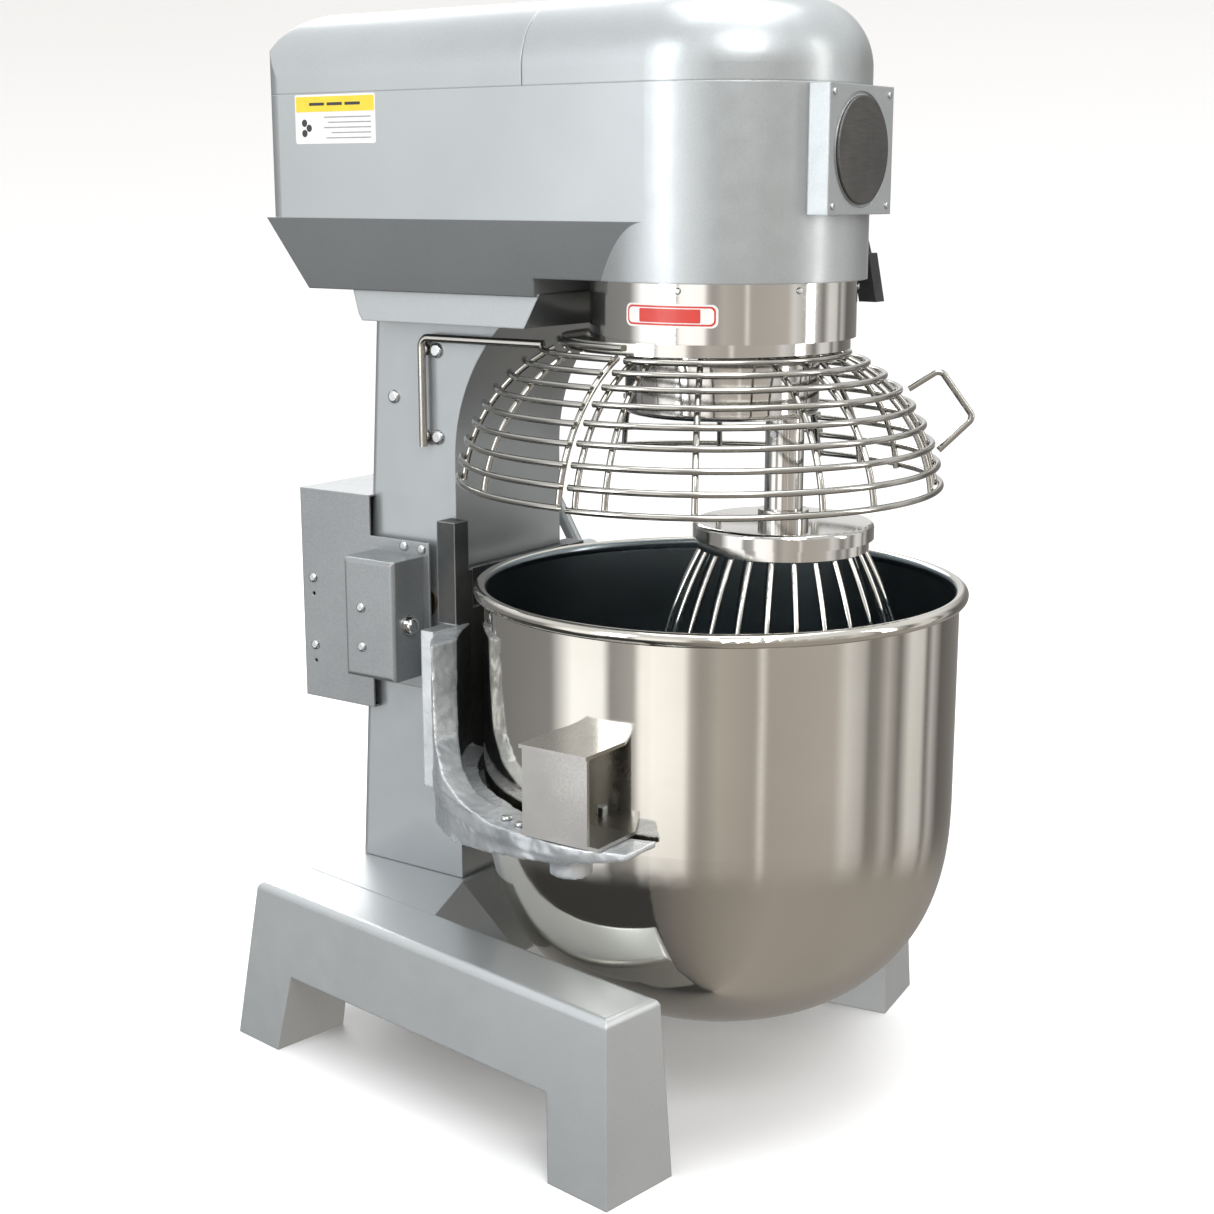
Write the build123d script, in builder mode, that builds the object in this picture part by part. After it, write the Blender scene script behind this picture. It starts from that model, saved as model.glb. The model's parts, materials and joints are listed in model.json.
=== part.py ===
"""Floor-standing commercial planetary mixer, 30 litre class.

Frame: +Z up, front towards -Y, floor at z = 0.  Heights are above the floor, and
lengths along Y are counted from the planetary axis, which the bowl shares.
"""
import math
import os

from build123d import *

os.makedirs("parts", exist_ok=True)

# ---- driving dimensions (mm) -------------------------------------------------
axis_y = -95.0             # planetary axis, in front of the frame's origin

bowl_r = 197.5             # outside of the bowl's straight wall
bowl_wall = 1.6
bowl_floor_z = 73.0        # underside of the lowered bowl
bowl_shoulder_z = 262.0    # where the wall starts to curve inwards
bowl_rim_z = 431.5
bowl_rim_tube_r = 5.5
lift_travel = 62.0

base_half = 256.5          # outer corner of a front foot
leg_splay = 8.25           # degrees
leg_front_y = -65.0
leg_length = 461.5
leg_width = 74.6
leg_top_width = 60.0
leg_top_z = 150.0
leg_under_z = 74.0

column_half = 75.0
column_front_y = 220.0
column_wall = 6.0
slot_half = 30.0           # carriage slot in the column's front wall

head_r = 115.0             # half width of the head and radius of its nose
head_back_y = 393.0
head_floor_z = 684.6
crease_z = 730.0
seam_z = 832.0
dome_z = 899.0
dome_r = 54.0
cover_wall = 3.0
cover_split_y = 114.0

collar_r = 107.4
collar_bottom_z = 639.0

gear_module = 2.0
ring_teeth = 76
planet_teeth = 24
orbit_r = gear_module * (ring_teeth - planet_teeth) / 2
orbit_angle = -55.0        # where the agitator stands at rest
main_teeth = 60
lay_teeth = 24
lay_y = gear_module * (main_teeth + lay_teeth) / 2
motor_y = 278.0
main_shaft_r = 15.0
agitator_r = 12.0
running_gap = 0.05         # radial clearance of a shaft in its bearing

guard_shift = 16.0         # the guard's centre lies behind the planetary axis
guard_arc_r = 63.3         # centre of the cage's curved side: distance from the guard's axis
guard_arc_z = 506.4
front_curve = (130.4, 6.0, 73.5, 74.5)   # radius of the side; angles of first hoop, last hoop, rib end
wing_curve = (140.5, 6.8, 66.5, 64.0)    # fixed wings, outside the front cage
hoop_count = 10
hoop_wire_r = 2.5
weld = 0.05                # hair gap between hoops and ribs
ring_outer_r = 117.4

pinion_teeth = 24
pinion_r = gear_module * pinion_teeth / 2
pinion_y = 258.0
pinion_z = 400.0

gap = 0.3                  # between faces that slide on one another

orbit_x = orbit_r * math.cos(math.radians(orbit_angle))
orbit_y = orbit_r * math.sin(math.radians(orbit_angle))
planet_axis = Axis((0, axis_y, 0), (0, 0, 1))
guard_axis = Axis((0, axis_y + guard_shift, 0), (0, 0, 1))
whip_axis = Axis((orbit_x, axis_y + orbit_y, 0), (0, 0, 1))


# ---- planes and shared shapes ------------------------------------------------
def level(z):
    """Horizontal plane centred on the planetary axis."""
    return Plane(origin=(0, axis_y, z))


def side(x):
    """Plane across X: sketch coordinates are (y, z)."""
    return Plane(origin=(x, axis_y, 0), x_dir=(0, 1, 0), z_dir=(1, 0, 0))


def facing(y):
    """Plane looking forwards: sketch coordinates are (x, z)."""
    return Plane(origin=(0, axis_y + y, 0), x_dir=(1, 0, 0), z_dir=(0, -1, 0))


def radial(angle, x=0.0, y=0.0):
    """Upright plane through a vertical line: sketch coordinates are (radius, z)."""
    a = math.radians(angle)
    out = (math.cos(a), math.sin(a), 0)
    return Plane(origin=(x, axis_y + y, 0), x_dir=out, z_dir=(out[1], -out[0], 0))


def polar(radius, angle):
    a = math.radians(angle)
    return (radius * math.cos(a), radius * math.sin(a))


def disc(radius, z_low, z_high, centre=(0, 0), bore=0.0):
    """Upright cylinder or ring."""
    with BuildPart() as made:
        with BuildSketch(level(z_low)):
            with Locations(centre):
                Circle(radius)
                if bore > 0:
                    Circle(bore, mode=Mode.SUBTRACT)
        extrude(amount=z_high - z_low)
    return made.part


def block(x, y, z):
    """Box from three (low, high) pairs."""
    with BuildPart() as made:
        with BuildSketch(level(z[0])):
            with Locations(((x[0] + x[1]) / 2, (y[0] + y[1]) / 2)):
                Rectangle(x[1] - x[0], y[1] - y[0])
        extrude(amount=z[1] - z[0])
    return made.part


def turned(points, axis=planet_axis, x=0.0, y=0.0):
    """Solid of revolution from (radius, z) points."""
    with BuildPart() as made:
        with BuildSketch(facing(y)):
            with Locations((x, 0)):
                Polygon(*points, align=None)
        revolve(axis=axis)
    return made.part


def profile_slab(points, x_low, x_high):
    """Side profile of (y, z) points, extruded across X."""
    with BuildPart() as made:
        with BuildSketch(side(x_low)):
            Polygon(*points, align=None)
        extrude(amount=x_high - x_low)
    return made.part


def dome_screw(x, y, z, direction, radius=5.0, shank=8.0):
    """Domed screw whose head stands on the face at (x, y, z)."""
    seat = Plane(origin=(x, axis_y + y, z), z_dir=direction)
    with BuildPart() as made:
        with BuildSketch(seat):
            Circle(radius)
        extrude(amount=radius * 0.55)
        crown = made.faces().sort_by(Axis(seat.origin, direction))[-1]
        fillet(crown.edges(), radius=radius * 0.45)
        with BuildSketch(seat):
            Circle(radius * 0.5)
        extrude(amount=-shank)
    return made.part


def toothed(teeth, r_root, r_tip, root_share, tip_share, phase=0.0):
    """Gear outline with straight flanks; shares are fractions of one pitch."""
    pitch = 360 / teeth
    points = []
    for i in range(teeth):
        middle = phase + i * pitch
        points.append(polar(r_root, middle - root_share * pitch / 2))
        points.append(polar(r_tip, middle - tip_share * pitch / 2))
        points.append(polar(r_tip, middle + tip_share * pitch / 2))
        points.append(polar(r_root, middle + root_share * pitch / 2))
    with BuildSketch() as outline:
        Polygon(*points, align=None)
    return outline.sketch


def spur(teeth, phase=0.0):
    """Outline of an external gear."""
    r = gear_module * teeth / 2
    return toothed(teeth, r - 1.25 * gear_module, r + gear_module, 0.60, 0.24, phase)


def head_outline(inset=0.0):
    """Plan of the head: round nose, straight sides, rounded back corners."""
    half = head_r - inset
    back = head_back_y - inset
    corner = 18.0 - inset
    with BuildSketch() as outline:
        with BuildLine():
            Line((half, 0), (half, back - corner))
            TangentArc((half, back - corner), (half - corner, back), tangent=(0, 1))
            Line((half - corner, back), (corner - half, back))
            TangentArc((corner - half, back), (-half, back - corner), tangent=(-1, 0))
            Line((-half, back - corner), (-half, 0))
            ThreePointArc((-half, 0), (0, -half), (half, 0))
        make_face()
    return outline.sketch


def save(piece, name):
    piece.label = name
    export_step(piece, f"parts/{name}.step")


# ---- base --------------------------------------------------------------------
splay = math.radians(leg_splay)


def leg(hand):
    """One splayed leg with its two feet; hand is -1 on the left, +1 on the right."""
    corner = (hand * base_half, axis_y + leg_front_y, 0)
    along = (-hand * math.sin(splay), math.cos(splay), 0)
    inward = (-hand * math.cos(splay), -math.sin(splay), 0)
    out = (-inward[0], -inward[1], 0)
    upright = Plane(origin=corner, x_dir=along, z_dir=out if hand > 0 else inward)
    across = Plane(origin=corner, x_dir=inward, z_dir=(-along[0], -along[1], 0))
    if hand > 0:
        across = Plane(origin=corner, x_dir=inward, z_dir=along)
    lean = (leg_width - leg_top_width) / 2
    outline = [(0, 0), (62.7, 0), (67, leg_under_z), (385.8, leg_under_z), (404.5, 0),
               (leg_length, 0), (433.8, leg_top_z), (7, leg_top_z)]
    with BuildPart() as made:
        with BuildSketch(upright):
            Polygon(*outline, align=None)
        extrude(amount=leg_width if hand < 0 else -leg_width)
        with BuildSketch(across):
            Polygon((0, 0), (leg_width, 0), (leg_width - lean, leg_top_z), (lean, leg_top_z), align=None)
        extrude(amount=600, both=True, mode=Mode.INTERSECT)
        top = made.faces().sort_by(Axis.Z)[-1]
        fillet(top.edges(), radius=7)
    return made.part


# cross member between the legs: flat top beside the column, sloping hip facets in front
with BuildPart() as base:
    with BuildSketch(level(82)):
        Polygon((-170, 120), (-55, 172), (55, 172), (170, 120), (170, 366), (-170, 366), align=None)
    with BuildSketch(level(leg_top_z - 0.5)):
        Polygon((-170, 178), (-82, 214), (82, 214), (170, 178), (170, 352), (-170, 352), align=None)
    loft()
    add(leg(-1))
    add(leg(1))
save(base.part, "base_casting")

# ---- column ------------------------------------------------------------------
column_top_z = 644.0
flare_z = 526.0            # where the column's front starts to curve forwards to the head
flare_r = 160.0
with BuildPart() as column:
    with BuildSketch(side(-column_half)):
        with BuildLine():
            flare = CenterArc((column_front_y - flare_r, flare_z), flare_r, 0,
                              math.degrees(math.asin((column_top_z - flare_z) / flare_r)))
            Polyline(flare @ 1, (308, column_top_z), (310, 634), (341, leg_top_z),
                     (column_front_y, leg_top_z), flare @ 0)
        make_face()
    extrude(amount=2 * column_half)
    upright_edges = column.edges().filter_by(lambda e: abs(e.tangent_at(0.5).Z) > 0.9)
    fillet(upright_edges.group_by(Axis.Y)[-1], radius=8)
    cavity = [(column_front_y + column_wall, leg_top_z), (column_front_y + column_wall, column_top_z),
              (310 - column_wall, column_top_z), (341 - column_wall - 2, leg_top_z)]
    add(profile_slab(cavity, column_wall - column_half, column_half - column_wall), mode=Mode.SUBTRACT)
    # slot for the carriage, and the cross holes of the lift shaft
    add(block((-slot_half, slot_half), (200, 232), (240, 368 + lift_travel + 2)), mode=Mode.SUBTRACT)
    with BuildSketch(side(0)):
        with Locations((pinion_y, pinion_z)):
            Circle(15)
    extrude(amount=100, both=True, mode=Mode.SUBTRACT)
save(column.part, "column")

# ---- head casting ------------------------------------------------------------
def head_section(z, width, y_front, y_back):
    """Level rectangle; two of them bound a leaning part of the head casting."""
    with BuildSketch(level(z)) as section:
        with Locations((0, (y_front + y_back) / 2)):
            Rectangle(width, y_back - y_front)
    return section.sketch


with BuildPart() as head_casting:
    with BuildSketch(level(head_floor_z)):
        Circle(head_r)
    extrude(amount=crease_z - head_floor_z)
    with BuildSketch(level(crease_z)):
        add(head_outline())
    extrude(amount=seam_z - crease_z)
    # the sides lean in below the crease: first beside the drum, then behind the collar
    add(loft([head_section(crease_z, 2 * head_r, 0, head_back_y),
              head_section(head_floor_z, 210.4, 0, 366.5)], mode=Mode.PRIVATE))
    add(loft([head_section(head_floor_z, 210.4, 112, 366.5),
              head_section(670, 204, 114, 358)], mode=Mode.PRIVATE))
    # neck that stands on the column
    add(profile_slab([(112, 672), (128, column_top_z), (302, column_top_z), (306, 650), (312, 672)], -97, 97))
    add(block((-62, 62), (150, 290), (640, 692)), mode=Mode.SUBTRACT)
    # seat of the collar
    with BuildSketch(level(600)):
        Circle(collar_r + 0.4)
    extrude(amount=head_floor_z - 600, mode=Mode.SUBTRACT)
    # gearbox and motor space
    with BuildSketch(level(698)):
        Circle(head_r - 7)
    extrude(amount=seam_z - 698, mode=Mode.SUBTRACT)
    with BuildSketch(level(crease_z + 4)):
        add(head_outline(6))
    extrude(amount=seam_z - crease_z, mode=Mode.SUBTRACT)
    add(block((-94, 94), (60, 348), (690, crease_z + 5)), mode=Mode.SUBTRACT)
    # main shaft, lay shaft and shift shaft bores
    with BuildSketch(level(660)):
        Circle(30)
        with Locations((0, lay_y)):
            Circle(20)
    extrude(amount=45, mode=Mode.SUBTRACT)
    with BuildSketch(side(90)):
        with Locations((-45, 755)):
            Circle(6 + running_gap)
    extrude(amount=40, mode=Mode.SUBTRACT)
save(head_casting.part, "head_casting")


def dome(inset):
    """Solid under the head's domed top, pulled in by inset on every side."""
    half = head_r - inset
    top = dome_z - inset
    r = dome_r - inset
    with BuildPart() as made:
        with BuildSketch(facing(0)):
            with BuildLine():
                Line((0, seam_z), (half, seam_z))
                Line((half, seam_z), (half, top - r))
                TangentArc((half, top - r), (half - r, top), tangent=(0, 1))
                Line((half - r, top), (0, top))
                Line((0, top), (0, seam_z))
            make_face()
        revolve(axis=planet_axis)
        with BuildSketch(facing(0)):
            with BuildLine():
                Line((-half, seam_z), (half, seam_z))
                Line((half, seam_z), (half, top - r))
                TangentArc((half, top - r), (half - r, top), tangent=(0, 1))
                Line((half - r, top), (r - half, top))
                TangentArc((r - half, top), (-half, top - r), tangent=(-1, 0))
                Line((-half, top - r), (-half, seam_z))
            make_face()
        extrude(amount=inset - head_back_y)
        back = head_back_y - inset
        with BuildSketch(side(-200)):
            with BuildLine():
                Line((-200, seam_z - 5), (back, seam_z - 5))
                Line((back, seam_z - 5), (back, top - r))
                TangentArc((back, top - r), (back - r, top), tangent=(0, 1))
                Line((back - r, top), (-200, top))
                Line((-200, top), (-200, seam_z - 5))
            make_face()
        extrude(amount=400, mode=Mode.INTERSECT)
        with BuildSketch(level(seam_z)):
            add(head_outline(inset))
        extrude(amount=200, mode=Mode.INTERSECT)
    return made.part


dome_shell = dome(0) - dome(cover_wall)
with BuildPart() as front_cover:
    add(dome_shell)
    add(block((-200, 200), (cover_split_y, 500), (800, 950)), mode=Mode.SUBTRACT)
save(front_cover.part, "front_top_cover")
with BuildPart() as rear_cover:
    add(dome_shell)
    add(block((-200, 200), (-300, cover_split_y + 0.6), (800, 950)), mode=Mode.SUBTRACT)
save(rear_cover.part, "rear_top_cover")

# square nose boss with its round cover disc
nose_y = -121.0
nose_z = 783.0
with BuildPart() as nose:
    add(block((-51, 51), (nose_y, -90), (735, 831)))
    with BuildSketch(level(700)):
        Circle(head_r)
    extrude(amount=200, mode=Mode.SUBTRACT)
    with BuildSketch(facing(nose_y)):
        with Locations((0, nose_z)):
            Circle(43)
            Circle(41, mode=Mode.SUBTRACT)
    extrude(amount=-1.5, mode=Mode.SUBTRACT)
save(nose.part, "nose_boss")
with BuildPart() as nose_disc:
    with BuildSketch(facing(nose_y)):
        with Locations((0, nose_z)):
            Circle(40.5)
    extrude(amount=2.4)
    fillet(nose_disc.faces().sort_by(Axis.Y)[0].edges(), radius=1.2)
save(nose_disc.part, "nose_cover_disc")
small_screws = [dome_screw(x, nose_y, nose_z + z, (0, -1, 0), radius=2.6, shank=4.0)
                for x in (-44, 44) for z in (-41.5, 41.5)]

# ---- collar and planetary gearing --------------------------------------------
with BuildPart() as collar:
    add(turned([(101, head_floor_z), (collar_r, head_floor_z), (collar_r, collar_bottom_z),
                (90, collar_bottom_z), (90, collar_bottom_z + 5), (101, collar_bottom_z + 5)]))
save(collar.part, "collar_ring")
for angle in (-167, -116, -65, -14):
    x, y = polar(collar_r, angle)
    small_screws.append(dome_screw(x, y, 679, (x, y, 0), radius=2.6, shank=5.0))
save(Compound(children=[screw.solid() for screw in small_screws]), "small_screws")

pinion_pitch_r = gear_module * ring_teeth / 2
with BuildPart() as ring_gear:
    with BuildSketch(level(664)):
        Circle(98)
        add(toothed(ring_teeth, pinion_pitch_r - gear_module, pinion_pitch_r + 1.25 * gear_module,
                    0.78, 0.42, orbit_angle), mode=Mode.SUBTRACT)
    extrude(amount=head_floor_z - 664)
save(ring_gear.part, "ring_gear")

with BuildPart() as carrier:
    add(disc(79, 577, 655))
    fillet(carrier.faces().sort_by(Axis.Z)[0].edges(), radius=4.5)
    add(disc(21, 570, 660, (orbit_x, orbit_y)), mode=Mode.SUBTRACT)
    add(disc(main_shaft_r, 620, 660), mode=Mode.SUBTRACT)
save(carrier.part, "planet_carrier")
with BuildPart() as agitator_bearings:
    for z in (582, 640):
        add(disc(21, z, z + 12, (orbit_x, orbit_y), bore=agitator_r + running_gap))
save(agitator_bearings.part, "agitator_bearings")

with BuildPart() as main_shaft:
    add(disc(main_shaft_r, 620, 792))
    chamfer(main_shaft.faces().sort_by(Axis.Z)[-1].edges(), length=1.5)
save(main_shaft.part, "main_shaft")
with BuildPart() as main_gear:
    with BuildSketch(level(712)):
        add(spur(main_teeth, 90 + 180 / main_teeth))
        Circle(main_shaft_r, mode=Mode.SUBTRACT)
        with PolarLocations(37, 6):
            Circle(10, mode=Mode.SUBTRACT)
    extrude(amount=18)
    add(disc(24, 706, 712, bore=main_shaft_r))
save(main_gear.part, "main_gear")

with BuildPart() as agitator_shaft:
    add(disc(agitator_r, 530, 684, (orbit_x, orbit_y)))
    with BuildSketch(Plane(origin=(orbit_x, axis_y + orbit_y, 665))):
        add(spur(planet_teeth, orbit_angle))
    extrude(amount=18)
    with BuildSketch(side(orbit_x)):
        with Locations((orbit_y, 560)):
            Circle(3)
    extrude(amount=19, both=True)
    chamfer(agitator_shaft.faces().sort_by(Axis.Z)[0].edges(), length=1.5)
save(agitator_shaft.part, "agitator_shaft")

# ---- transmission ------------------------------------------------------------
with BuildPart() as drive_plate:
    with BuildSketch(level(780)):
        with Locations((0, 150)):
            Rectangle(2 * head_r - 12, 430)
        Circle(28, mode=Mode.SUBTRACT)
        with Locations((0, lay_y)):
            Circle(18, mode=Mode.SUBTRACT)
        with Locations((0, motor_y)):
            Circle(14, mode=Mode.SUBTRACT)
        with Locations((-95, -40), (95, -40)):
            Rectangle(70, 90, mode=Mode.SUBTRACT)
    extrude(amount=8)
save(drive_plate.part, "drive_plate")
with BuildPart() as lay_shaft:
    add(disc(10, 691, 822, (0, lay_y)))
    with BuildSketch(Plane(origin=(0, axis_y + lay_y, 710))):
        add(spur(lay_teeth, -90))
    extrude(amount=22)
save(lay_shaft.part, "lay_shaft")
with BuildPart() as gearbox_bearings:
    add(disc(30, 686, 698, bore=main_shaft_r + running_gap))
    add(disc(28, 780, 788, bore=main_shaft_r + running_gap))
    add(disc(20, 688, 698, (0, lay_y), bore=10 + running_gap))
    add(disc(18, 780, 788, (0, lay_y), bore=10 + running_gap))
save(gearbox_bearings.part, "gearbox_bearings")


def pulley(radius, bore, centre, groove=8.0):
    """Belt pulley with a square groove."""
    with BuildPart() as made:
        add(disc(radius, 798, 816, centre, bore))
        with BuildSketch(level(802.5)):
            with Locations(centre):
                Circle(radius + 1)
                Circle(radius - groove, mode=Mode.SUBTRACT)
        extrude(amount=9, mode=Mode.SUBTRACT)
    return made.part


motor_pulley_r = 28.0
driven_pulley_r = 53.0
save(pulley(driven_pulley_r, 10, (0, lay_y)), "driven_pulley")
save(pulley(motor_pulley_r, 9, (0, motor_y)), "motor_pulley")


def belt_loop(inset):
    """Plan of the belt's outer or inner line round both pulleys."""
    with BuildSketch() as loop:
        with Locations((0, lay_y)):
            Circle(driven_pulley_r - inset)
        with Locations((0, motor_y)):
            Circle(motor_pulley_r - inset)
        make_hull()
    return loop.sketch


with BuildPart() as belt:
    with BuildSketch(level(803)):
        add(belt_loop(0))
        add(belt_loop(7.6), mode=Mode.SUBTRACT)
    extrude(amount=8)
save(belt.part, "drive_belt")

with BuildPart() as motor_housing:
    add(disc(62, 693, 780, (0, motor_y)))
    add(disc(52, 700, 773, (0, motor_y)), mode=Mode.SUBTRACT)
    add(disc(9 + running_gap, 690, 790, (0, motor_y)), mode=Mode.SUBTRACT)
save(motor_housing.part, "motor_housing")
with BuildPart() as stator:
    add(disc(52, 708, 764, (0, motor_y), bore=38))
save(stator.part, "motor_stator")
with BuildPart() as rotor:
    add(disc(9, 694, 824, (0, motor_y)))
    add(disc(37.4, 708, 764, (0, motor_y)))
save(rotor.part, "motor_rotor")

# ---- speed selector ----------------------------------------------------------
shift_y = -45.0
shift_z = 755.0
with BuildPart() as shift_collar:
    add(turned([(main_shaft_r + running_gap, 745), (24, 745), (24, 751), (20, 751), (20, 759), (24, 759),
                (24, 765), (main_shaft_r + running_gap, 765)]))
save(shift_collar.part, "shift_collar")
with BuildPart() as shift_fork:
    with BuildSketch(side(34)):
        with Locations((shift_y, shift_z)):
            Circle(6)
    extrude(amount=90)
    add(block((28, 36), (shift_y - 8, 4), (shift_z - 5, shift_z + 5)))
    add(block((21, 30), (-4, 4), (shift_z - 2.6, shift_z + 2.6)))
save(shift_fork.part, "shift_fork")
with BuildPart() as shift_lever:
    with BuildSketch(side(head_r + 1)):
        with Locations((shift_y, shift_z)):
            Circle(13)
        Polygon((shift_y - 8, shift_z), (shift_y + 8, shift_z), (-58, 690), (-72, 690), align=None)
    extrude(amount=8)
    with BuildSketch(side(head_r + 1)):
        Polygon((-54, 702), (-70, 702), (-78, 662), (-62, 662), align=None)
    extrude(amount=15)
    with BuildSketch(side(0)):
        with Locations((shift_y, shift_z)):
            Circle(6)
    extrude(amount=300, mode=Mode.SUBTRACT)
save(shift_lever.part, "shift_lever")
# ---- bowl guard --------------------------------------------------------------


def cage(start, end, rib_angles, curve):
    """Wire sector between two angles: hoops outside, upright ribs inside."""
    radius, first, last, rib_end = curve
    rib_r = radius - 2 * hoop_wire_r - weld
    with BuildPart() as hoops:
        with BuildSketch(radial(start, y=guard_shift)):
            for i in range(hoop_count):
                r, z = polar(radius, first + (last - first) * i / (hoop_count - 1))
                with Locations((guard_arc_r + r, guard_arc_z + z)):
                    Circle(hoop_wire_r)
        revolve(axis=guard_axis, revolution_arc=end - start)
    wires = list(hoops.part.solids())
    for angle in rib_angles:
        with BuildPart() as rib:
            with BuildLine(radial(angle, y=guard_shift)) as path:
                CenterArc((guard_arc_r, guard_arc_z), rib_r, first - 1, rib_end - first + 1)
            with BuildSketch(Plane(origin=path.wire() @ 0, z_dir=path.wire() % 0)):
                Circle(hoop_wire_r)
            sweep(path=path.wire())
        wires += rib.part.solids()
    return Compound(children=wires)


front_sectors = 4
sector = 180 / front_sectors
for i in range(front_sectors):
    start = -180 + sector * i
    ribs = [start + 15, start + 30]
    if i == 0:
        ribs = [start + 1.2, start + 9, start + 30]
    if i == front_sectors - 1:
        ribs.append(-1.2)
    save(cage(start, start + sector, ribs, front_curve), f"guard_front_{i + 1}")
save(cage(125, 180, (126, 152, 178.8), wing_curve), "guard_left_wing")
save(cage(0, 55, (1.2, 28, 54), wing_curve), "guard_right_wing")

# fixed ring under the collar, and the ring that turns in it
with BuildPart() as guard_ring:
    add(turned([(98, 639), (ring_outer_r, 639), (ring_outer_r, 629.5), (107, 629.5), (107, 632),
                (114, 632), (114, 636.4), (98, 636.4)], axis=guard_axis, y=guard_shift))
save(guard_ring.part, "guard_ring")
with BuildPart() as turn_ring:
    add(turned([(98.5, 636), (113.6, 636), (113.6, 632.4), (106.6, 632.4), (106.6, 629),
                (98.5, 629)], axis=guard_axis, y=guard_shift))
save(turn_ring.part, "guard_turn_ring")

handle_angle = -57.8
with BuildPart() as guard_handle:
    with BuildLine(radial(handle_angle, y=guard_shift)) as grip:
        FilletPolyline((165.5, 595), (190.6, 611), (219, 572), (191.5, 545), radius=6)
    with BuildSketch(Plane(origin=grip.wire() @ 0, z_dir=grip.wire() % 0)):
        Circle(2.6)
    sweep(path=grip.wire())
save(guard_handle.part, "guard_handle")

# stays from the column to the two fixed wings
with BuildPart() as stays:
    for hand in (-1, 1):
        x = hand * (column_half + 7)
        with BuildLine() as bar:
            FilletPolyline((x, axis_y + 249, 538), (x, axis_y + 249, 631), (x, axis_y + 120, 631), radius=8)
        with BuildSketch(Plane(origin=bar.wire() @ 0, z_dir=bar.wire() % 0)):
            Circle(3.5)
        sweep(path=bar.wire())
        for z in (546, 622):
            add(block((min(x, hand * column_half), max(x, hand * column_half)), (245, 253), (z - 6, z + 6)))
save(stays.part, "guard_stays")
bolts = [dome_screw(hand * column_half, 238, z, (hand, 0, 0), radius=6.5, shank=6.0)
         for hand in (-1, 1) for z in (546, 620)]
bolts.append(dome_screw(-column_half, 287, 578, (-1, 0, 0), radius=6.0, shank=5.0))

# ---- bowl lift ---------------------------------------------------------------
plate_y = 206.5            # front of the carriage plate
plate_top_z = 434.0
cheek_x = 94.0             # outside of the cheeks that slide along the column's sides
with BuildPart() as carriage:
    add(block((-125, 125), (plate_y, column_front_y - gap), (250, 388)))
    add(block((-cheek_x, cheek_x), (plate_y, column_front_y - gap), (380, plate_top_z)))
    add(block((-cheek_x, -column_half - gap), (plate_y, column_front_y + 6), (plate_top_z - 1, 477)))
    for hand in (-1, 1):
        low = min(hand * (column_half + gap), hand * cheek_x)
        add(block((low, low + cheek_x - column_half - gap), (column_front_y - 1, column_front_y + 6),
                  (388, plate_top_z)))
    # tongue in the column's slot and keeper plate behind the front wall
    add(block((gap - slot_half, slot_half - gap), (219, 226.5), (300, 368)))
    add(block((-45, 45), (column_front_y + column_wall + gap, 229.5), (300, 430)))
    # room for the bowl's rim
    add(block((-70, 70), (plate_y - 1, plate_y + 3), (400, plate_top_z + 1)), mode=Mode.SUBTRACT)
save(carriage.part, "bowl_carriage")

# rack teeth: a gap faces the pinion's axis at rest
tooth_pitch = math.pi * gear_module
rack_pitch_y = pinion_y - pinion_r
with BuildPart() as rack:
    add(block((-11, 11), (229.5, rack_pitch_y - 1.25 * gear_module), (322, 418)))
    with BuildSketch(side(-11)):
        for i in range(-12, 3):
            z = pinion_z + (i + 0.5) * tooth_pitch
            foot = rack_pitch_y - 1.25 * gear_module - 0.2
            tip = rack_pitch_y + gear_module
            Polygon((foot, z - 0.30 * tooth_pitch), (foot, z + 0.30 * tooth_pitch),
                    (tip, z + 0.12 * tooth_pitch), (tip, z - 0.12 * tooth_pitch), align=None)
    extrude(amount=22)
save(rack.part, "lift_rack")


def cross_bar(x_low, x_high, radius, bore=0.0):
    """Round bar or sleeve on the lift shaft's axis."""
    with BuildPart() as made:
        with BuildSketch(side(x_low)):
            with Locations((pinion_y, pinion_z)):
                Circle(radius)
                if bore > 0:
                    Circle(bore, mode=Mode.SUBTRACT)
        extrude(amount=x_high - x_low)
    return made.part


with BuildPart() as lift_shaft:
    add(cross_bar(-73, 160, 10))
    with BuildSketch(Plane(origin=(-11, axis_y + pinion_y, pinion_z), x_dir=(0, 1, 0), z_dir=(1, 0, 0))):
        add(spur(pinion_teeth, 180))
    extrude(amount=22)
save(lift_shaft.part, "lift_shaft")
with BuildPart() as lift_bushes:
    for hand in (-1, 1):
        low = min(hand * 63, hand * 77)
        add(cross_bar(low, low + 14, 15, bore=10 + running_gap))
save(lift_bushes.part, "lift_bushes")
lever_x = 165.0
lever_tilt = 58.8          # degrees above the backward horizontal when the bowl is down
lever_dir = (0, math.cos(math.radians(lever_tilt)), math.sin(math.radians(lever_tilt)))
with BuildPart() as lift_lever:
    add(cross_bar(150, 176, 18))
    add(cross_bar(140, 160, 10), mode=Mode.SUBTRACT)
    with BuildSketch(Plane(origin=(lever_x, axis_y + pinion_y, pinion_z), z_dir=lever_dir)):
        Circle(7)
    extrude(amount=168)
save(lift_lever.part, "lift_lever")
with BuildPart() as lever_knob:
    knob_seat = Plane(origin=(lever_x, axis_y + pinion_y + 165 * lever_dir[1], pinion_z + 165 * lever_dir[2]),
                      z_dir=lever_dir)
    with BuildSketch(knob_seat):
        Circle(11)
    with BuildSketch(knob_seat.offset(40)):
        Circle(14)
    loft()
    add(lift_lever.part, mode=Mode.SUBTRACT)
    fillet(lever_knob.edges().filter_by(GeomType.CIRCLE).sort_by(Axis(knob_seat.origin, lever_dir))[-1],
           radius=9)
save(lever_knob.part, "lift_lever_grip")

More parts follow.
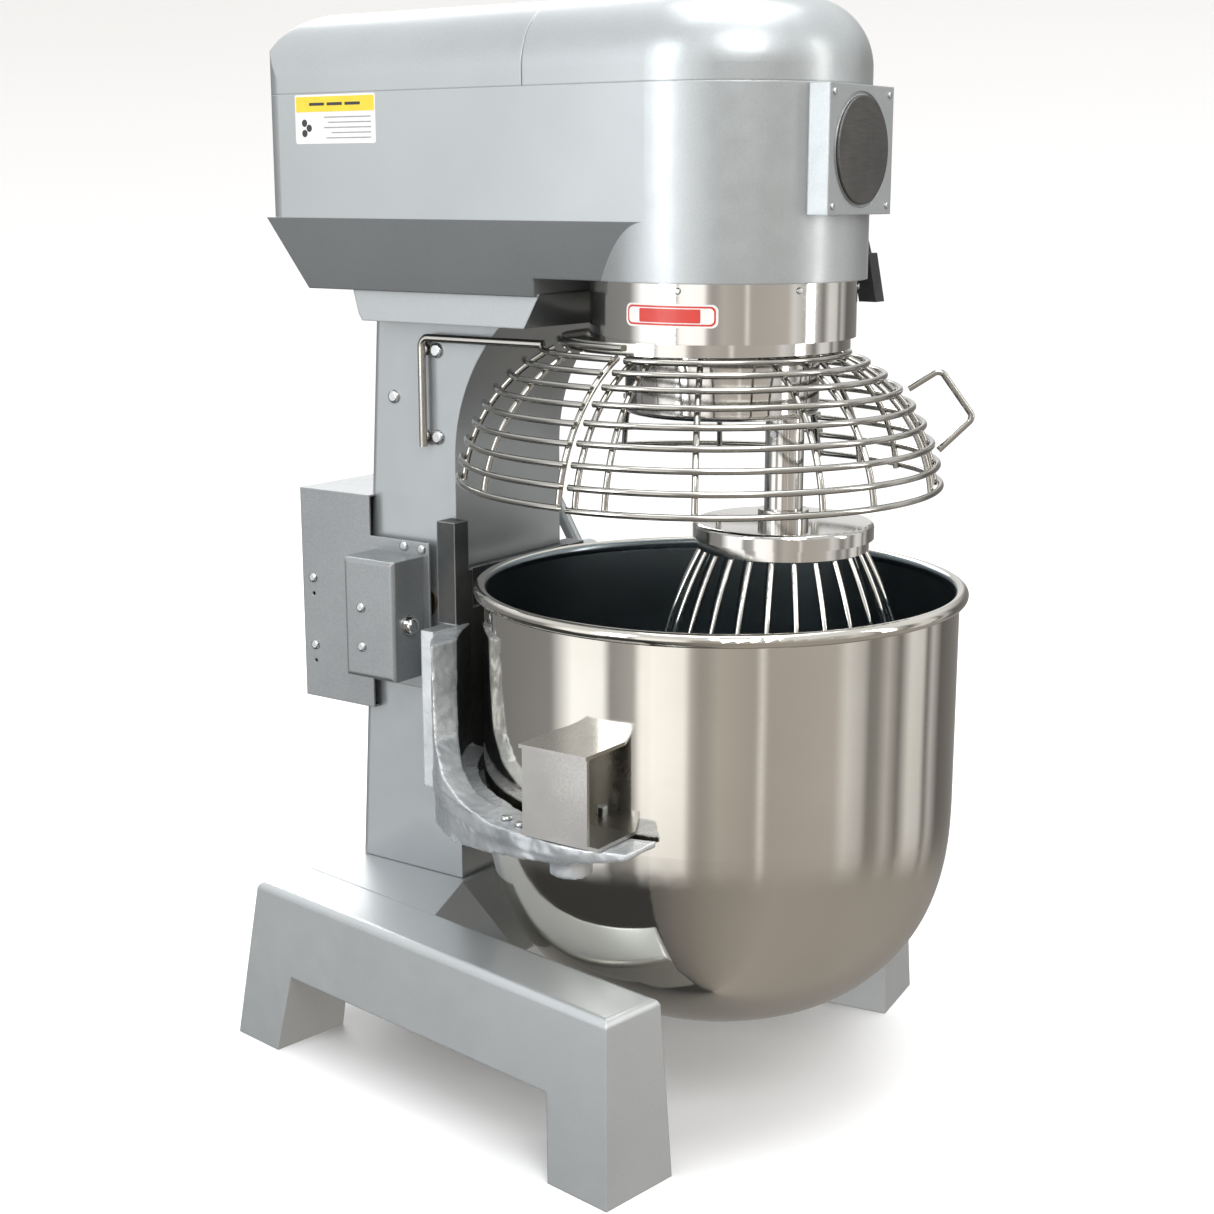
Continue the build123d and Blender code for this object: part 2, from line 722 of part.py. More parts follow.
# yoke arms round the bowl
arm_top = [(219, 388), (176, 388), (172, 345), (163, 311), (140, 292), (108, 283), (62, 277), (-66, 277)]
arm_bottom = [(-66, 271), (-20, 262), (69, 250), (129, 241), (170, 238), (219, 252)]


def yoke_arm(hand):
    """Curved arm: an annular sector trimmed by its side profile."""
    with BuildPart() as made:
        with BuildSketch(level(230)):
            Circle(241)
            Circle(218, mode=Mode.SUBTRACT)
        extrude(amount=160)
        with BuildSketch(level(265)):
            Circle(242)
            Circle(202, mode=Mode.SUBTRACT)
        extrude(amount=14)
        with BuildSketch(side(0)):
            Polygon(*(arm_top + arm_bottom), align=None)
        extrude(amount=hand * 300, mode=Mode.INTERSECT)
        x_low = min(hand * 76, hand * 300)
        add(block((x_low, x_low + 224), (-300, 219.4), (200, 420)), mode=Mode.INTERSECT)
        # locating pin of the bowl
        add(disc(17, 248, 270, (hand * 222, -8)))
        add(disc(6, 270, 289, (hand * 222, -8)))
    return made.part


save(Compound(children=[yoke_arm(-1).solid(), yoke_arm(1).solid()]), "yoke_arms")
arm_screws = [dome_screw(hand * x, y, 277, (0, 0, 1), radius=4.5, shank=6.0)
              for hand in (-1, 1) for x, y in ((216, 58), (222, 40))]
save(Compound(children=[screw.solid() for screw in arm_screws]), "yoke_screws")

# ---- bowl --------------------------------------------------------------------
def bowl_point(depth, inset):
    """Point on the curved lower wall; depth runs from 0 at the shoulder to 1 at the floor."""
    fullness = 2.5
    r = (bowl_r - inset) * (1 - depth ** fullness) ** (1 / fullness)
    return (r, bowl_shoulder_z - depth * (bowl_shoulder_z - bowl_floor_z - inset))


def bowl_solid(inset):
    """Everything inside the bowl's outer or inner surface."""
    depths = (0.0, 0.2, 0.4, 0.6, 0.78, 0.9, 0.97, 1.0)
    with BuildPart() as made:
        with BuildSketch(facing(0)):
            with BuildLine():
                Spline(*[bowl_point(d, inset) for d in depths], tangents=((0, -1), (-1, 0)))
                Line((0, bowl_floor_z + inset), (0, bowl_rim_z))
                Line((0, bowl_rim_z), (bowl_r - inset, bowl_rim_z))
                Line((bowl_r - inset, bowl_rim_z), (bowl_r - inset, bowl_shoulder_z))
            make_face()
        revolve(axis=planet_axis)
    return made.part


with BuildPart() as bowl:
    add(bowl_solid(0))
    add(bowl_solid(bowl_wall), mode=Mode.SUBTRACT)
    with BuildSketch(facing(0)):
        with Locations((204.5 - bowl_rim_tube_r, bowl_rim_z)):
            Circle(bowl_rim_tube_r)
    revolve(axis=planet_axis)
save(bowl.part, "bowl")


def bowl_ear(hand):
    """Bent plate that stands the bowl on its yoke arm."""
    with BuildPart() as made:
        add(block((-244, -190), (-38, 24), (347, 350)))
        add(block((-240, -237), (-36, 24), (277.3, 349)))
        add(block((-240, -190), (-46, 24), (277.3, 280.3)))
        add(disc(bowl_r - 0.2, 200, 400), mode=Mode.SUBTRACT)
        add(disc(6.3, 270, 290, (-222, -8)), mode=Mode.SUBTRACT)
    piece = made.part
    if hand > 0:
        piece = mirror(piece, about=Plane.YZ)
    return piece


save(Compound(children=[bowl_ear(-1).solid(), bowl_ear(1).solid()]), "bowl_ears")

# ---- whip --------------------------------------------------------------------
whip_wires = 24
whip_floor_z = 158.0
with BuildPart() as whip_hub:
    add(disc(75, 474, 487, (orbit_x, orbit_y)))
    add(disc(71, 465, 474, (orbit_x, orbit_y)))
    fillet(whip_hub.faces().sort_by(Axis.Z)[-1].edges(), radius=4)
    add(disc(16, 470, 572, (orbit_x, orbit_y)))
    add(disc(21, 487, 497, (orbit_x, orbit_y)))
    add(disc(agitator_r, 529, 580, (orbit_x, orbit_y)), mode=Mode.SUBTRACT)
    with BuildSketch(side(orbit_x)):
        with Locations((orbit_y, 560)):
            Circle(3)
    extrude(amount=30, both=True, mode=Mode.SUBTRACT)
save(whip_hub.part, "whip_hub")
with BuildPart() as whip_tip:
    add(disc(24, whip_floor_z, whip_floor_z + 6, (orbit_x, orbit_y)))
    fillet(whip_tip.edges().filter_by(GeomType.CIRCLE), radius=2.5)
save(whip_tip.part, "whip_tip")

# each wire: a long arc down to the belly and a tighter one in to the tip
belly_r = 106.0
belly_z = 310.0
upper_arc = 324.2
lower_arc = 165.0
with BuildPart() as wire:
    with BuildLine(radial(0, orbit_x, orbit_y)) as run:
        CenterArc((belly_r - upper_arc, belly_z), upper_arc, 28.6, -28.6)
        CenterArc((belly_r - lower_arc, belly_z), lower_arc, 0, -61.0)
    with BuildSketch(Plane(origin=run.wire() @ 0, z_dir=run.wire() % 0)):
        Circle(2.3)
    sweep(path=run.wire())
wire_group = [wire.part.rotate(whip_axis, 360 / whip_wires * (i + 0.5)).solid() for i in range(whip_wires)]
save(Compound(children=wire_group), "whip_wires")

# ---- controls ----------------------------------------------------------------
panel_x = -84.0
with BuildPart() as electrical_box:
    add(block((panel_x, -panel_x), (312, 395), (296, 490)))
    add(block((panel_x + 1.8, -panel_x - 1.8), (300, 393.2), (297.8, 488.2)), mode=Mode.SUBTRACT)
    add(block((panel_x, panel_x + 1.8), (244, 313), (323, 454)))
    # vent holes under the side screws
    with BuildSketch(side(panel_x - 1)):
        with Locations((382, 393), (382, 330)):
            Circle(1.8)
    extrude(amount=4, mode=Mode.SUBTRACT)
    add(column.part, mode=Mode.SUBTRACT)
save(electrical_box.part, "electrical_box")
with BuildPart() as contactor:
    add(block((-50, 10), (346, 393.2), (360, 430)))
save(contactor.part, "contactor")
with BuildPart() as terminals:
    add(block((25, 65), (352, 393.2), (330, 420)))
    for i in range(5):
        add(block((28, 62), (345, 352), (336 + 17 * i, 346 + 17 * i)))
save(terminals.part, "terminal_block")
with BuildPart() as gland:
    add(disc(11, 284, 296, (40, 372), bore=5))
save(gland.part, "cable_gland")

box_face_x = -124.0
box_y = (251.0, 308.0)
box_z = (336.0, 442.0)
button_x = -104.0
button_travel = 3.0
button_z = 384.0
with BuildPart() as control_box:
    add(block((box_face_x, panel_x), box_y, box_z))
    fillet(control_box.faces().sort_by(Axis.X)[0].edges(), radius=4)
    add(block((box_face_x + 2, panel_x), (box_y[0] + 2, box_y[1] - 2), (box_z[0] + 2, box_z[1] - 2)),
        mode=Mode.SUBTRACT)
    with BuildSketch(facing(box_y[0] + 5)):
        with Locations((button_x, button_z)):
            Circle(9)
    extrude(amount=20, mode=Mode.SUBTRACT)
save(control_box.part, "control_box")


def button_bar(y_front, y_back, radius, bore=0.0):
    """Round piece on the push button's axis."""
    with BuildPart() as made:
        with BuildSketch(facing(y_back)):
            with Locations((button_x, button_z)):
                Circle(radius)
                if bore > 0:
                    Circle(bore, mode=Mode.SUBTRACT)
        extrude(amount=y_back - y_front)
    return made.part


save(button_bar(249.5, 285, 8.9, bore=7.3), "button_barrel")
with BuildPart() as push_button:
    add(button_bar(244, 262, 7.0))
    fillet(push_button.faces().sort_by(Axis.Y)[0].edges(), radius=3)
    add(button_bar(262, 276, 3.0))
save(push_button.part, "push_button")
with BuildPart() as button_spring:
    add(button_bar(262 + button_travel + 0.3, 285, 6.6, bore=4.6))
save(button_spring.part, "button_spring")

for y, z in ((252, 448), (272, 449), (382, 408), (382, 345)):
    bolts.append(dome_screw(panel_x, y, z, (-1, 0, 0), radius=4.5, shank=6.0))
for z in (399, 364):
    bolts.append(dome_screw(box_face_x, 288, z, (-1, 0, 0), radius=4.5, shank=1.9))
save(Compound(children=[bolt.solid() for bolt in bolts]), "domed_bolts")
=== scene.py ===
import json
import math

import bmesh
import bpy
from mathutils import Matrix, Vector, noise


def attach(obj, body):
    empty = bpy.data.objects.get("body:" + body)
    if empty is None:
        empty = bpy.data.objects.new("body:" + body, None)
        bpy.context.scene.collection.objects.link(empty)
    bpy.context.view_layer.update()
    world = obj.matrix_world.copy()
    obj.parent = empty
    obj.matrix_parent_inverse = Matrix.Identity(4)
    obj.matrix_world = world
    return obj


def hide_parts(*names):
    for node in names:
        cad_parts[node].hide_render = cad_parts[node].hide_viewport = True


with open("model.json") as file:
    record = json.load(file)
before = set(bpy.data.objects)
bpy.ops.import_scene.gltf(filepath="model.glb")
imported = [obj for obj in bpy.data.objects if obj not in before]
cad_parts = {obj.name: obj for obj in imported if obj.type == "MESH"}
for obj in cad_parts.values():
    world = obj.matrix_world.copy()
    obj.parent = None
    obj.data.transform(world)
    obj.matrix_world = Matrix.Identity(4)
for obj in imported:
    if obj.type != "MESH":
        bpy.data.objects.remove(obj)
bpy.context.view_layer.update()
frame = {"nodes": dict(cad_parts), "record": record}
nodes = frame["nodes"]

AXIS_Y = -0.095            # planetary axis, and the bowl's
BOWL_MIDDLE = (0.0, AXIS_Y, 0.33)
SLIDEWAY_Z = 0.387         # above this the carriage is a black slideway
CHEEK_X = 0.091            # half the gap between the carriage's cheeks
SHELF_Z = 0.279            # top of the yoke arms' shelf, which the bowl stands on
RIM_R = 0.229              # outside this radius the yoke arms' edges are ragged
RIM_WIDTH = 0.010


# ---- materials ---------------------------------------------------------------
class Graph:
    """A node tree, with short calls for the nodes it is made of."""

    def __init__(self, tree):
        self.tree = tree
        self.coords = self.tree.nodes.new("ShaderNodeTexCoord")

    def link(self, source, target):
        self.tree.links.new(source, target)

    def ramp(self, value, low, high, start=0.0, end=1.0, shape="LINEAR"):
        node = self.tree.nodes.new("ShaderNodeMapRange")
        node.clamp = True
        node.interpolation_type = shape
        for socket, number in zip(node.inputs[1:5], (low, high, start, end)):
            socket.default_value = number
        self.link(value, node.inputs[0])
        return node.outputs[0]

    def mix(self, factor, a, b):
        node = self.tree.nodes.new("ShaderNodeMix")
        node.data_type = "RGBA"
        self.link(factor, node.inputs[0])
        for socket, colour in ((node.inputs[6], a), (node.inputs[7], b)):
            if isinstance(colour, tuple):
                socket.default_value = (*colour, 1.0)
            else:
                self.link(colour, socket)
        return node.outputs[2]

    def math(self, operation, a, b=0.5):
        node = self.tree.nodes.new("ShaderNodeMath")
        node.operation = operation
        for socket, value in zip(node.inputs, (a, b)):
            if isinstance(value, (int, float)):
                socket.default_value = value
            else:
                self.link(value, socket)
        return node.outputs[0]

    def vector_math(self, operation, a, b):
        node = self.tree.nodes.new("ShaderNodeVectorMath")
        node.operation = operation
        for socket, value in zip(node.inputs, (a, b)):
            if isinstance(value, tuple):
                socket.default_value = value
            else:
                self.link(value, socket)
        return node.outputs["Value" if operation == "DOT_PRODUCT" else "Vector"]

    def part_of(self, vector, letter):
        node = self.tree.nodes.new("ShaderNodeSeparateXYZ")
        self.link(vector, node.inputs[0])
        return node.outputs[letter]


class Shader(Graph):
    """One node material."""

    def __init__(self, name):
        self.material = bpy.data.materials.new(name)
        self.material.use_nodes = True
        super().__init__(self.material.node_tree)
        self.principled = self.tree.nodes["Principled BSDF"]
        self.place = self.coords.outputs["Object"]
        self.normal = self.coords.outputs["Normal"]

    def set(self, **values):
        for key, value in values.items():
            self.principled.inputs[key.replace("_", " ")].default_value = value

    def noise(self, scale, detail=3.0, stretch=(1, 1, 1), roughness=0.55):
        mapping = self.tree.nodes.new("ShaderNodeMapping")
        mapping.inputs["Scale"].default_value = stretch
        self.link(self.place, mapping.inputs["Vector"])
        node = self.tree.nodes.new("ShaderNodeTexNoise")
        node.inputs["Scale"].default_value = scale
        node.inputs["Detail"].default_value = detail
        node.inputs["Roughness"].default_value = roughness
        self.link(mapping.outputs["Vector"], node.inputs["Vector"])
        return node.outputs["Fac"]

    def edges(self, radius):
        """1 within radius of a sharp edge, and the rounded normal."""
        node = self.tree.nodes.new("ShaderNodeBevel")
        node.samples = 4
        node.inputs["Radius"].default_value = radius
        geometry = self.tree.nodes.new("ShaderNodeNewGeometry")
        dot = self.vector_math("DOT_PRODUCT", node.outputs[0], geometry.outputs["Normal"])
        return self.ramp(dot, 0.97, 0.86), node.outputs[0]

    def facing(self, centre):
        """How far a surface's plane lies beyond centre; below 0 where the surface faces centre."""
        offset = self.vector_math("SUBTRACT", self.place, centre)
        return self.vector_math("DOT_PRODUCT", offset, self.normal)

    def facing_line(self, centre):
        """The same, measured from the upright line through centre."""
        offset = self.vector_math("SUBTRACT", self.place, centre)
        level = self.vector_math("MULTIPLY", offset, (1.0, 1.0, 0.0))
        return self.vector_math("DOT_PRODUCT", level, self.normal)

    def bump(self, height, strength, distance, normal=None):
        node = self.tree.nodes.new("ShaderNodeBump")
        node.inputs["Strength"].default_value = strength
        node.inputs["Distance"].default_value = distance
        self.link(height, node.inputs["Height"])
        if normal is not None:
            self.link(normal, node.inputs["Normal"])
        return node.outputs[0]

    def wire(self, **outputs):
        for key, output in outputs.items():
            self.link(output, self.principled.inputs[key.replace("_", " ")])
        return self.material


def metallic_paint(name, dark, light, round_edges=0.0018, painted_shade=0.0):
    """Silver paint: metal flakes, faint orange peel, worn a little paler along edges.
    Its last argument darkens what leans over: painted shade, standing in for the shade that falls on
    faces turned down."""
    s = Shader(name)
    s.set(Metallic=0.62, Coat_Weight=0.35, Coat_Roughness=0.16)
    flakes = s.ramp(s.noise(2600, 1.0), 0.3, 0.7)
    cloud = s.ramp(s.noise(5.0, 3.0), 0.3, 0.7)
    worn, rounded = s.edges(round_edges)
    colour = s.mix(cloud, dark, light)
    colour = s.mix(s.math("MULTIPLY", flakes, 0.28), colour, (0.80, 0.82, 0.83))
    colour = s.mix(s.math("MULTIPLY", worn, 0.35), colour, (0.74, 0.75, 0.75))
    if painted_shade > 0:
        # painted shade: faces turned downward are mixed towards a near-black grey
        under = s.ramp(s.part_of(s.normal, "Z"), -0.08, -0.20)
        colour = s.mix(s.math("MULTIPLY", under, painted_shade), colour, (0.05, 0.054, 0.056))
    rough = s.ramp(s.noise(60, 4.0), 0.2, 0.8, 0.30, 0.42)
    peel = s.bump(s.noise(420, 2.0), 0.06, 0.0004, rounded)
    return s.wire(Base_Color=colour, Roughness=rough, Normal=peel)


def polished(name, tint, rough=0.05, wobble=0.0012):
    """Polished stainless steel: near mirror, with buffing haze and gentle waves."""
    s = Shader(name)
    s.set(Metallic=1.0)
    haze = s.ramp(s.noise(9, 5.0), 0.35, 0.75)
    lines = s.noise(500, 3.0)
    colour = s.mix(haze, tint, tuple(0.9 * c for c in tint))
    smooth = s.ramp(s.math("ADD", haze, lines), 0.5, 1.6, rough, rough * 2.6)
    waves = s.bump(s.noise(7, 1.0), 0.35, wobble)
    fine = s.bump(lines, 0.03, 0.0001, waves)
    return s.wire(Base_Color=colour, Roughness=smooth, Normal=fine)


def bowl_steel(name):
    """Bright outside; the inside has the dull, dark look of a steel that sees no light."""
    s = Shader(name)
    s.set(Metallic=1.0)
    inside = s.ramp(s.facing(BOWL_MIDDLE), -0.02, -0.06)
    haze = s.ramp(s.noise(6, 5.0), 0.35, 0.75)
    spun = s.noise(260, 3.0, (0.02, 0.02, 1.0))
    outer = s.mix(haze, (0.63, 0.61, 0.56), (0.56, 0.54, 0.49))
    # painted shade: the inside faces, turned to the bowl's middle, get a dark steel colour
    colour = s.mix(inside, outer, (0.27, 0.31, 0.33))
    rough = s.ramp(s.math("ADD", haze, spun), 0.5, 1.6, 0.05, 0.13)
    rough = s.math("ADD", rough, s.math("MULTIPLY", inside, 0.16))
    waves = s.bump(s.noise(5.5, 1.5), 0.35, 0.0016)
    fine = s.bump(spun, 0.03, 0.0001, waves)
    return s.wire(Base_Color=colour, Roughness=rough, Normal=fine)


def machined(name, tint, rough=0.24):
    """Turned or plated metal: fine tool lines, faint stains and paler edges."""
    s = Shader(name)
    s.set(Metallic=1.0)
    lines = s.noise(700, 2.0, (0.1, 0.1, 1.0))
    stain = s.ramp(s.noise(30, 4.0), 0.35, 0.7)
    worn, rounded = s.edges(0.0006)
    colour = s.mix(stain, tint, tuple(0.78 * c for c in tint))
    pale = tuple(min(1.0, 1.3 * c) for c in tint)
    colour = s.mix(s.math("MULTIPLY", worn, 0.3), colour, pale)
    roughness = s.ramp(lines, 0.3, 0.7, rough, rough * 1.6)
    relief = s.bump(lines, 0.1, 0.0002, rounded)
    return s.wire(Base_Color=colour, Roughness=roughness, Normal=relief)


def moulded(name, tint, rough=0.42):
    """Moulded plastic or rubber: fine grain, a little dust and paler edges."""
    s = Shader(name)
    s.set(Specular_IOR_Level=0.45)
    grain = s.noise(900.0, 2.0)
    dust = s.ramp(s.noise(40, 4.0), 0.45, 0.8, 0.0, 0.25)
    worn, rounded = s.edges(0.0008)
    pale = tuple(c + 0.10 for c in tint)
    colour = s.mix(dust, tint, pale)
    colour = s.mix(s.math("MULTIPLY", worn, 0.4), colour, pale)
    roughness = s.ramp(grain, 0.3, 0.7, rough, rough + 0.14)
    relief = s.bump(grain, 0.12, 0.0002, rounded)
    return s.wire(Base_Color=colour, Roughness=roughness, Normal=relief)


def printed(name, tint):
    """Ink on vinyl: a slight unevenness in tone and gloss."""
    s = Shader(name)
    s.set(Coat_Weight=0.25, Coat_Roughness=0.2)
    mottle = s.noise(120, 4.0)
    colour = s.mix(s.ramp(mottle, 0.3, 0.7), tint, tuple(0.9 * c for c in tint))
    return s.wire(Base_Color=colour, Roughness=s.ramp(mottle, 0.3, 0.7, 0.35, 0.45))


def yoke_metal(name, carriage=False):
    """Linished outside; the faces towards the bowl are painted near black, painted shade for the shade
    between arms and bowl, and the slideway is left black from the foundry.
    """
    s = Shader(name)
    s.set(Metallic=0.50)
    lumps = s.noise(34.0, 5.0)
    patches = s.ramp(s.noise(13, 4.0), 0.36, 0.66)
    worn, rounded = s.edges(0.0018)
    # painted shade mask: faces turned towards the bowl's upright axis
    dark = s.ramp(s.facing_line(BOWL_MIDDLE), -0.187, -0.198)
    if carriage:
        across = s.math("ABSOLUTE", s.part_of(s.place, "X"))
        dark = s.math("MULTIPLY", dark, s.ramp(across, CHEEK_X + 0.001, CHEEK_X))
        slideway = s.ramp(s.part_of(s.place, "Z"), SLIDEWAY_Z, SLIDEWAY_Z + 0.002)
        dark = s.math("MAXIMUM", dark, slideway)
    colour = s.mix(patches, (0.40, 0.43, 0.45), (0.62, 0.64, 0.66))
    # near-black colour: painted shade on the faces towards the bowl, and the slideway's own black
    colour = s.mix(dark, colour, s.mix(patches, (0.028, 0.036, 0.042), (0.075, 0.074, 0.068)))
    colour = s.mix(s.math("MULTIPLY", worn, 0.5), colour, (0.84, 0.85, 0.86))
    roughness = s.math("ADD", s.ramp(lumps, 0.3, 0.7, 0.16, 0.34), s.math("MULTIPLY", dark, 0.25))
    relief = s.bump(lumps, 0.6, 0.0016, rounded)
    return s.wire(Base_Color=colour, Roughness=roughness, Normal=relief)


SILVER = ((0.30, 0.325, 0.335), (0.36, 0.385, 0.395))
casting_paint = metallic_paint("casting_paint", *SILVER, painted_shade=0.62)
box_paint = metallic_paint("box_paint", (0.17, 0.185, 0.192), (0.22, 0.235, 0.242))
base_paint = metallic_paint("base_paint", (0.42, 0.445, 0.455), (0.49, 0.515, 0.525))
column_paint = metallic_paint("column_paint", (0.27, 0.295, 0.305), (0.33, 0.355, 0.365))
finishes = {
    "grey_paint": metallic_paint("silver_paint", *SILVER),
    "polished_steel": polished("mirror_steel", (0.70, 0.69, 0.66)),
    "wire_steel": polished("drawn_wire", (0.46, 0.45, 0.42), rough=0.10, wobble=0.0),
    "cast_yoke": yoke_metal("yoke_metal"),
    "fastener": machined("zinc_plate", (0.62, 0.64, 0.65), rough=0.20),
    "machine_steel": machined("ground_steel", (0.46, 0.47, 0.48)),
    "aluminium": machined("turned_aluminium", (0.66, 0.67, 0.68), rough=0.30),
    "bronze": machined("oiled_bronze", (0.20, 0.16, 0.11), rough=0.34),
    "belt_rubber": moulded("belt_rubber", (0.018, 0.018, 0.018), rough=0.62),
    "black_plastic": moulded("black_phenolic", (0.014, 0.014, 0.016), rough=0.30),
    "light_plastic": moulded("light_plastic", (0.62, 0.61, 0.56)),
}
special = {
    "head_casting": casting_paint,
    "base_casting": base_paint,
    "column": column_paint,
    "electrical_box": box_paint,
    "control_box": box_paint,
    "bowl": bowl_steel("bowl_steel"),
    "bowl_ears": polished("ear_steel", (0.46, 0.45, 0.43), rough=0.16),
    "bowl_carriage": yoke_metal("carriage_metal", carriage=True),
    "nose_cover_disc": machined("satin_disc", (0.150, 0.150, 0.145), rough=0.30),
}
for entry in frame["record"]["subparts"]:
    node = entry["node"]
    nodes[node].data.materials.clear()
    nodes[node].data.materials.append(special.get(node, finishes[entry["material_slot"]]))

label_white = printed("label_white", (0.80, 0.80, 0.79))
label_yellow = printed("label_yellow", (0.83, 0.62, 0.03))
label_red = printed("label_red", (0.60, 0.030, 0.018))
label_black = printed("label_black", (0.02, 0.02, 0.02))
label_grey = printed("label_grey", (0.30, 0.30, 0.31))


# ---- pieces made here --------------------------------------------------------
def add_print(name, verts, faces, material):
    """A thin sheet on the frame body."""
    mesh = bpy.data.meshes.new(name)
    mesh.from_pydata(verts, [], faces)
    mesh.materials.append(material)
    obj = bpy.data.objects.new(name, mesh)
    bpy.context.scene.collection.objects.link(obj)
    build = bmesh.new()
    build.from_mesh(mesh)
    bmesh.ops.recalc_face_normals(build, faces=build.faces)
    build.to_mesh(mesh)
    build.free()
    shell = obj.modifiers.new("thickness", "SOLIDIFY")
    shell.thickness = 0.0001
    shell.offset = 0.0
    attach(obj, "frame")


def patch(name, place, columns, material, layer):
    """A sheet of print: columns are (u, v low, v high), and place puts (u, v, lift) on a surface.
    Each layer of print lies a little above the one before."""
    lift = 0.0001 + 0.00012 * layer
    rows = 5
    verts = []
    for u, low, high in columns:
        for j in range(rows):
            verts.append(place(u, low + (high - low) * j / (rows - 1), lift))
    faces = []
    for i in range(len(columns) - 1):
        for j in range(rows - 1):
            a = i * rows + j
            faces.append((a, a + 1, a + rows + 1, a + rows))
    add_print(name, verts, faces, material)


def rounded_box(half_w, half_h, corner, centre=(0.0, 0.0), steps=48):
    """Columns of a patch with rounded corners."""
    columns = []
    for i in range(steps + 1):
        u = -half_w * math.cos(math.pi * i / steps)
        over = max(0.0, abs(u) - (half_w - corner))
        drop = corner - math.sqrt(max(0.0, corner ** 2 - over ** 2))
        columns.append((centre[0] + u, centre[1] - half_h + drop, centre[1] + half_h - drop))
    return columns


def on_head(u, v, lift):
    """Left side of the head: u runs forwards, v up, from the sticker's middle."""
    head_side_x, middle_y, middle_z = -0.115, 0.215, 0.811
    return (head_side_x - lift, middle_y - u, middle_z + v)


def on_collar(u, v, lift):
    """Round the collar: u runs to the front, v up, from the label's middle."""
    collar_r, bearing, middle_z = 0.1074, -171.0, 0.6605
    angle = math.radians(bearing) + u / collar_r
    radius = collar_r + lift
    return (radius * math.cos(angle), AXIS_Y + radius * math.sin(angle), middle_z + v)


def rough_yoke(name, voxel=0.0016, relief=0.0007):
    """The CAD yoke arms as the foundry leaves them: edges rounded over, skin uneven, rims ragged.
    The skin is worn back from the CAD shape, so the casting stays inside its box."""
    obj = bpy.data.objects.new(name, nodes["yoke_arms"].data.copy())
    bpy.context.scene.collection.objects.link(obj)
    remesh = obj.modifiers.new("remesh", "REMESH")
    remesh.mode = "VOXEL"
    remesh.voxel_size = voxel
    smooth = obj.modifiers.new("smooth", "SMOOTH")
    smooth.factor = 0.5
    smooth.iterations = 4
    shape = bpy.data.meshes.new_from_object(obj.evaluated_get(bpy.context.evaluated_depsgraph_get()))
    obj.modifiers.clear()
    obj.data = shape
    shape.name = name
    shape.materials.clear()
    shape.materials.append(finishes["cast_yoke"])
    skin = []
    for point, normal in [(v.co.copy(), v.normal.copy()) for v in shape.vertices]:
        lumps = noise.noise(point * 55.0) + 0.5 * noise.noise(point * 140.0)
        moved = point - normal * relief * (0.8 + lumps)
        away = Vector((point.x, point.y - AXIS_Y, 0.0))
        rim = max(0.0, min(1.0, (away.length - RIM_R) / RIM_WIDTH))
        ragged = rim * (1.0 if point.z < SHELF_Z else 0.25)
        moved -= away.normalized() * ragged * (0.0016 + 0.0022 * noise.noise(point * 38.0))
        skin.extend(moved)
    shape.vertices.foreach_set("co", skin)
    shape.update()
    for face in shape.polygons:
        face.use_smooth = True
    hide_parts("yoke_arms")
    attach(obj, "carriage")


rough_yoke("yoke_castings")

# sticker on the head: sheet, heading band, heading bars, lines and dots, with no lettering
patch("sticker_sheet", on_head, rounded_box(0.045, 0.020, 0.002), label_white, 0)
patch("sticker_band", on_head, rounded_box(0.0438, 0.0062, 0.001, (0, 0.0122)), label_yellow, 1)
for i in range(3):
    bar = rounded_box(0.0085, 0.0012, 0.0005, (-0.020 + 0.0200 * i, 0.0122))
    patch(f"sticker_heading_{i + 1}", on_head, bar, label_black, 2)
for i, length in enumerate((0.026, 0.024, 0.026, 0.022, 0.025)):
    line = rounded_box(length, 0.00045, 0.0002, (0.040 - length, 0.0015 - 0.0042 * i))
    patch(f"sticker_line_{i + 1}", on_head, line, label_grey, 1)
for i in range(3):
    dot = rounded_box(0.0030, 0.0030, 0.0030, (-0.0345 + 0.0052 * (i % 2), -0.003 - 0.0042 * i), 20)
    patch(f"sticker_mark_{i + 1}", on_head, dot, label_black, 1)

# label on the collar: four rounded shapes, each inside the one before
patch("collar_label_sheet", on_collar, rounded_box(0.0390, 0.0088, 0.0050), label_white, 0)
patch("collar_label_border", on_collar, rounded_box(0.0372, 0.0074, 0.0042), label_red, 1)
patch("collar_label_field", on_collar, rounded_box(0.0358, 0.0060, 0.0034), label_white, 2)
patch("collar_label_panel", on_collar, rounded_box(0.0255, 0.0052, 0.0010), label_red, 3)


# ---- floor, light and camera -------------------------------------------------
def turned_sheet(name, profile, steps=96):
    """Part of the backdrop: a profile of (radius, height) turned about the upright axis."""
    verts = []
    for i in range(steps):
        angle = 2 * math.pi * i / steps
        for radius, up in profile:
            verts.append((radius * math.cos(angle), radius * math.sin(angle), up))
    count = len(profile)
    faces = []
    for i in range(steps):
        here, there = i * count, (i + 1) % steps * count
        for j in range(count - 1):
            faces.append((here + j, there + j, there + j + 1, here + j + 1))
    mesh = bpy.data.meshes.new(name)
    mesh.from_pydata(verts, [], faces)
    for face in mesh.polygons:
        face.use_smooth = True
    obj = bpy.data.objects.new(name, mesh)
    bpy.context.scene.collection.objects.link(obj)
    s = Shader(name)
    s.set(Roughness=0.75)
    tone = s.mix(s.noise(0.8), (0.93, 0.93, 0.93), (0.91, 0.91, 0.91))
    mesh.materials.append(s.wire(Base_Color=tone))
    # left out of reflections and bounced light, so that the steel shows the room, not a blank sheet
    obj.visible_glossy = False
    obj.visible_diffuse = False
    return obj


